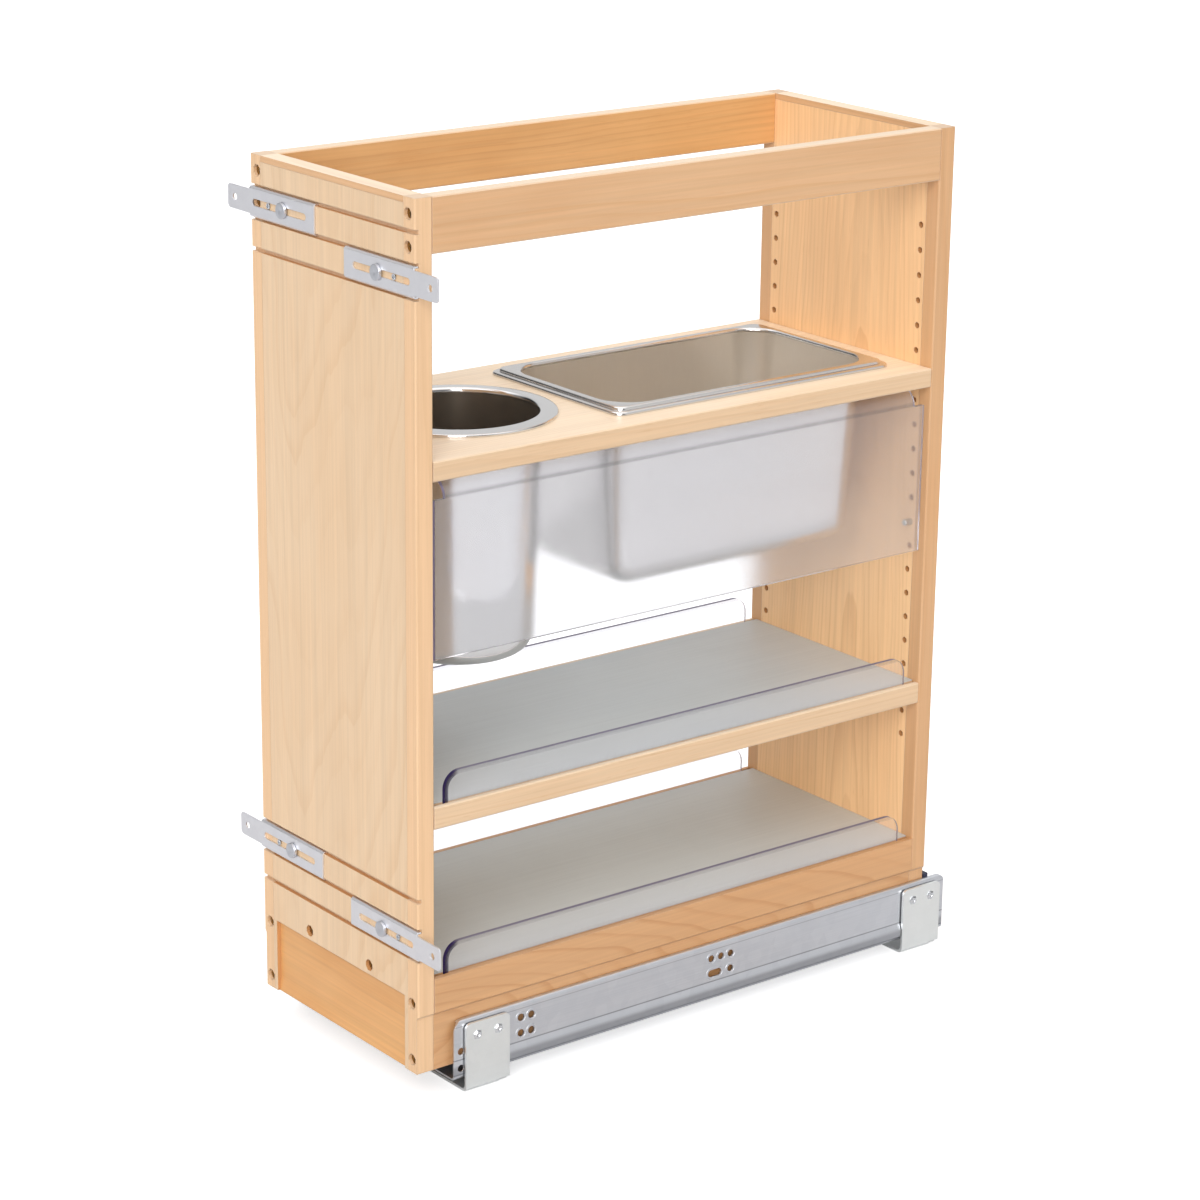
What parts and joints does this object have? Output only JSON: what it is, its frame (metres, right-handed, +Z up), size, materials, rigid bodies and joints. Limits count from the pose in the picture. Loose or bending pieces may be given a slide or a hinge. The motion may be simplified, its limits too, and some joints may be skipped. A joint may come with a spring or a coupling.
{
  "type": "pull-out grooming organizer",
  "caption": "Narrow wooden pull-out on undermount slides with an open top, a round container, a rectangular pan, railed shelves and adjustable door brackets.",
  "frame": {"origin": "on the cabinet floor, under the middle of the part's width and length", "axes": "+Z up, -Y the way it pulls out, towards the door, +X to the right as seen by someone who looks from the door towards the back"},
  "size_m": [0.2526, 0.4976, 0.64],
  "materials": {
    "maple_plywood": "clear satin lacquer on flat-sawn veneer",
    "maple": "clear satin lacquer on solid maple",
    "plain_plywood": "unfinished plywood",
    "grey_liner": "brushed-look grey laminate",
    "nickel_pin": "nickel plate",
    "clear_acrylic": "clear, polished edges",
    "frosted_acrylic": "frosted",
    "stainless_steel": "satin brushed, bright rolled rim",
    "zinc_steel": "zinc plate",
    "galvanised_steel": "light galvanised",
    "bright_zinc": "bright zinc plate",
    "yellow_zinc": "yellow zinc plate",
    "carriage_plastic": "moulded nylon",
    "roller_plastic": "moulded acetal",
    "bumper_plastic": "moulded dark blue plastic"
  },
  "bodies": {
    "cabinet_side": {"fixed_member_right": "zinc_steel", "fixed_member_left": "zinc_steel", "front_floor_bracket_right": "galvanised_steel", "front_floor_bracket_left": "galvanised_steel", "rear_floor_bracket_right": "galvanised_steel", "rear_floor_bracket_left": "galvanised_steel", "bracket_rivets": "bright_zinc", "rear_bumper_right": "bumper_plastic", "rear_bumper_left": "bumper_plastic"},
    "middle_members": {"middle_member_right": "zinc_steel", "middle_member_left": "zinc_steel"},
    "lower_carriages": {"lower_carriage_right": "carriage_plastic", "lower_carriage_left": "carriage_plastic", "lower_rollers": "roller_plastic"},
    "upper_carriages": {"upper_carriage_right": "carriage_plastic", "upper_carriage_left": "carriage_plastic", "upper_rollers": "roller_plastic"},
    "round_can": {"round_container": "stainless_steel"},
    "pan": {"rectangular_pan": "stainless_steel"},
    "door_bracket_upper_left_body": {"door_bracket_upper_left": "galvanised_steel"},
    "door_bracket_upper_right_body": {"door_bracket_upper_right": "galvanised_steel"},
    "door_bracket_lower_left_body": {"door_bracket_lower_left": "galvanised_steel"},
    "door_bracket_lower_right_body": {"door_bracket_lower_right": "galvanised_steel"},
    "organizer": {"back_panel": "maple_plywood", "back_panel_screws": "yellow_zinc", "back_stile_left": "maple", "back_stile_right": "maple", "base_back_board": "maple", "base_front_board": "maple", "base_side_board_left": "maple", "base_side_board_right": "maple", "bottom_rail_left": "clear_acrylic", "bottom_rail_right": "clear_acrylic", "bottom_shelf": "maple", "bottom_shelf_liner": "grey_liner", "bracket_clamp_screws": "bright_zinc", "bracket_guide_screws": "bright_zinc", "container_shelf": "maple", "drawer_runner_left": "zinc_steel", "drawer_runner_right": "zinc_steel", "front_panel": "maple_plywood", "front_panel_screws": "yellow_zinc", "front_stile_left": "maple", "front_stile_right": "maple", "guard_left": "frosted_acrylic", "guard_right": "frosted_acrylic", "guard_screws": "yellow_zinc", "guard_stop_pins": "nickel_pin", "mid_rail_left": "clear_acrylic", "mid_rail_right": "clear_acrylic", "mid_shelf": "maple", "mid_shelf_liner": "grey_liner", "panel_top_strips": "maple", "runner_screws": "yellow_zinc", "shelf_pins": "nickel_pin", "slide_deck": "plain_plywood", "top_rail_left": "maple", "top_rail_right": "maple"}
  },
  "joints": [
    {"name": "organizer_slide", "type": "slide", "parent": "cabinet_side", "child": "organizer", "axis": [0, -1, 0], "range_m": [0, 0.44]},
    {"name": "middle_member_slide", "type": "slide", "parent": "cabinet_side", "child": "middle_members", "axis": [0, -1, 0], "range_m": [0, 0.22]},
    {"name": "lower_carriage_slide", "type": "slide", "parent": "cabinet_side", "child": "lower_carriages", "axis": [0, -1, 0], "range_m": [0, 0.11]},
    {"name": "upper_carriage_slide", "type": "slide", "parent": "cabinet_side", "child": "upper_carriages", "axis": [0, -1, 0], "range_m": [0, 0.33]},
    {"name": "can_lift", "type": "slide", "parent": "organizer", "child": "round_can", "axis": [0, 0, 1], "range_m": [0, 0.18]},
    {"name": "pan_lift", "type": "slide", "parent": "organizer", "child": "pan", "axis": [0, 0, 1], "range_m": [0, 0.14]},
    {"name": "door_bracket_upper_left_slide", "type": "slide", "parent": "organizer", "child": "door_bracket_upper_left_body", "axis": [-1, 0, 0], "range_m": [-0.016, 0.026]},
    {"name": "door_bracket_upper_right_slide", "type": "slide", "parent": "organizer", "child": "door_bracket_upper_right_body", "axis": [1, 0, 0], "range_m": [-0.016, 0.026]},
    {"name": "door_bracket_lower_left_slide", "type": "slide", "parent": "organizer", "child": "door_bracket_lower_left_body", "axis": [-1, 0, 0], "range_m": [-0.016, 0.026]},
    {"name": "door_bracket_lower_right_slide", "type": "slide", "parent": "organizer", "child": "door_bracket_lower_right_body", "axis": [1, 0, 0], "range_m": [-0.016, 0.026]}
  ],
  "couplings": [
    {"joint": "middle_member_slide", "follows": "organizer_slide", "ratio": 0.5},
    {"joint": "lower_carriage_slide", "follows": "organizer_slide", "ratio": 0.25},
    {"joint": "upper_carriage_slide", "follows": "organizer_slide", "ratio": 0.75}
  ]
}
